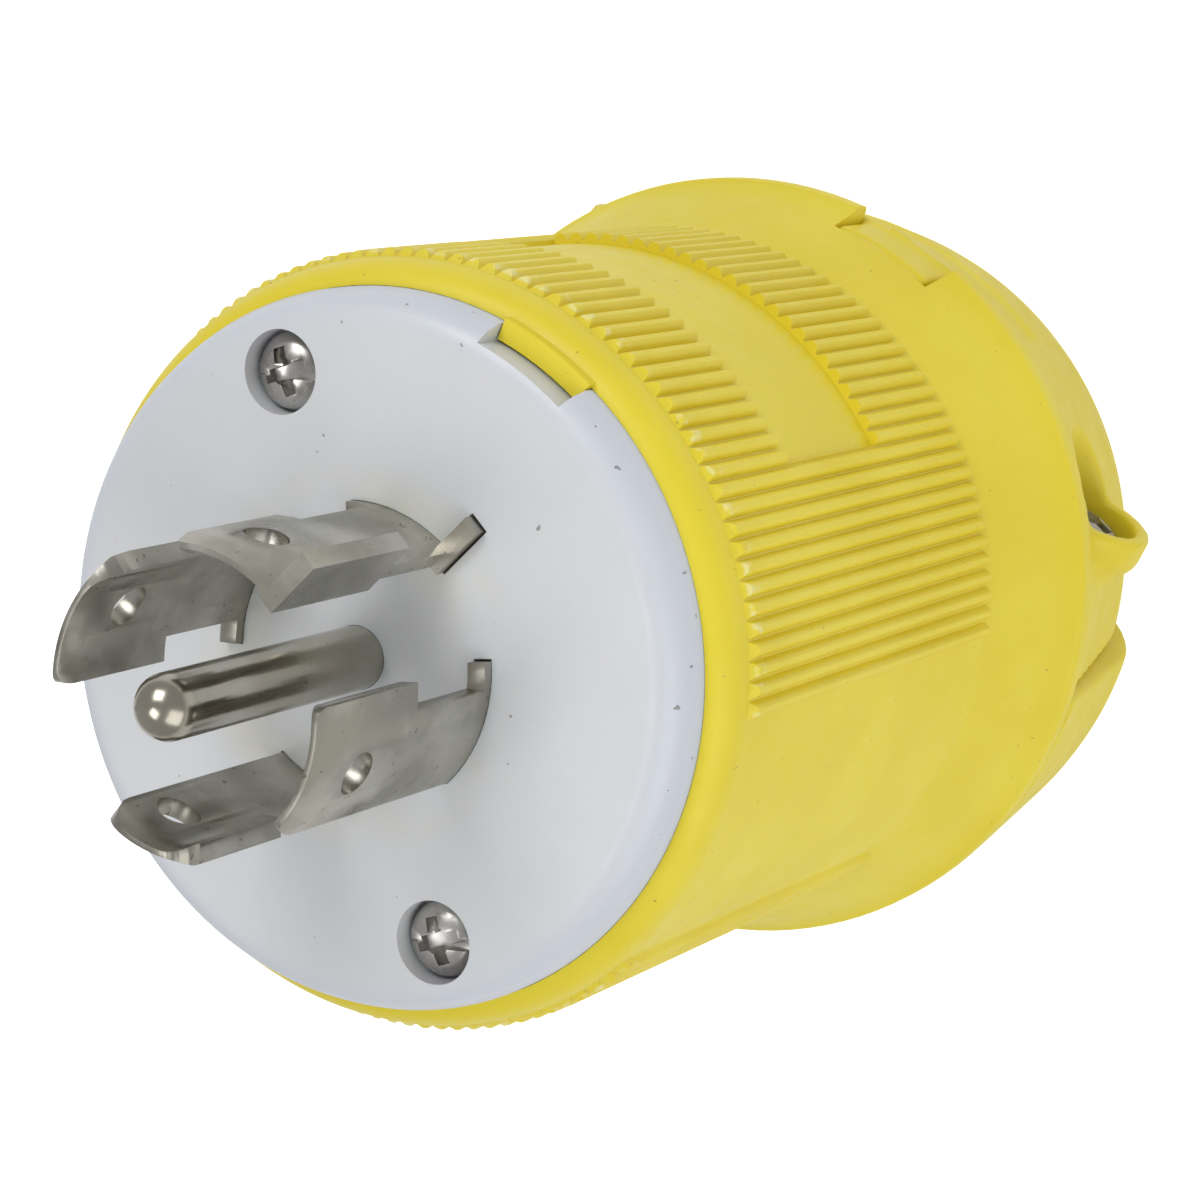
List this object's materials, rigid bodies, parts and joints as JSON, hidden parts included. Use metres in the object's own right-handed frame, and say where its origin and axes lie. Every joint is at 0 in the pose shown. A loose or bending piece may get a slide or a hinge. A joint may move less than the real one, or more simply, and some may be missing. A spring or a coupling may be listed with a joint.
{
  "type": "locking power plug",
  "caption": "Round locking power plug with curved twist blades, a centre ground pin, a ribbed yellow grip and a screw-closed cord clamp.",
  "frame": {"origin": "centre of the flat tail end that the plug stands on, on the plug axis", "axes": "+Z along the plug axis from the tail to the blades, +Y towards the label panel, -Y the way the clamp jaw opens"},
  "size_m": [0.0644, 0.0642, 0.1113],
  "materials": {
    "yellow_nylon": "moulded nylon with a fine satin grain",
    "white_nylon": "smooth moulded nylon",
    "grey_plastic": "moulded",
    "plated_brass": "bright plating with fine stamping marks",
    "brass": "bare",
    "plated_steel": "zinc plated",
    "green_steel": "green"
  },
  "bodies": {
    "plug": {"housing": "yellow_nylon", "face": "white_nylon", "terminal_base": "grey_plastic", "clamp_body": "yellow_nylon", "blade_line_1": "plated_brass", "blade_line_2": "plated_brass", "blade_line_3": "plated_brass", "blade_neutral": "plated_brass", "ground_pin": "plated_brass", "ground_strap": "plated_brass", "line_terminal_screws": "brass", "neutral_terminal_screw": "plated_steel", "ground_terminal_screw": "green_steel", "line_pressure_plates": "brass", "neutral_pressure_plate": "plated_steel", "ground_pressure_plate": "plated_steel", "face_screws": "plated_steel", "screw_inserts": "brass", "clamp_screws": "plated_steel"},
    "jaw": {"clamp_jaw": "yellow_nylon", "clamp_nuts": "plated_steel"}
  },
  "joints": [
    {"name": "clamp_opening", "type": "slide", "parent": "plug", "child": "jaw", "axis": [0, -1, 0], "range_m": [0, 0.005]}
  ]
}
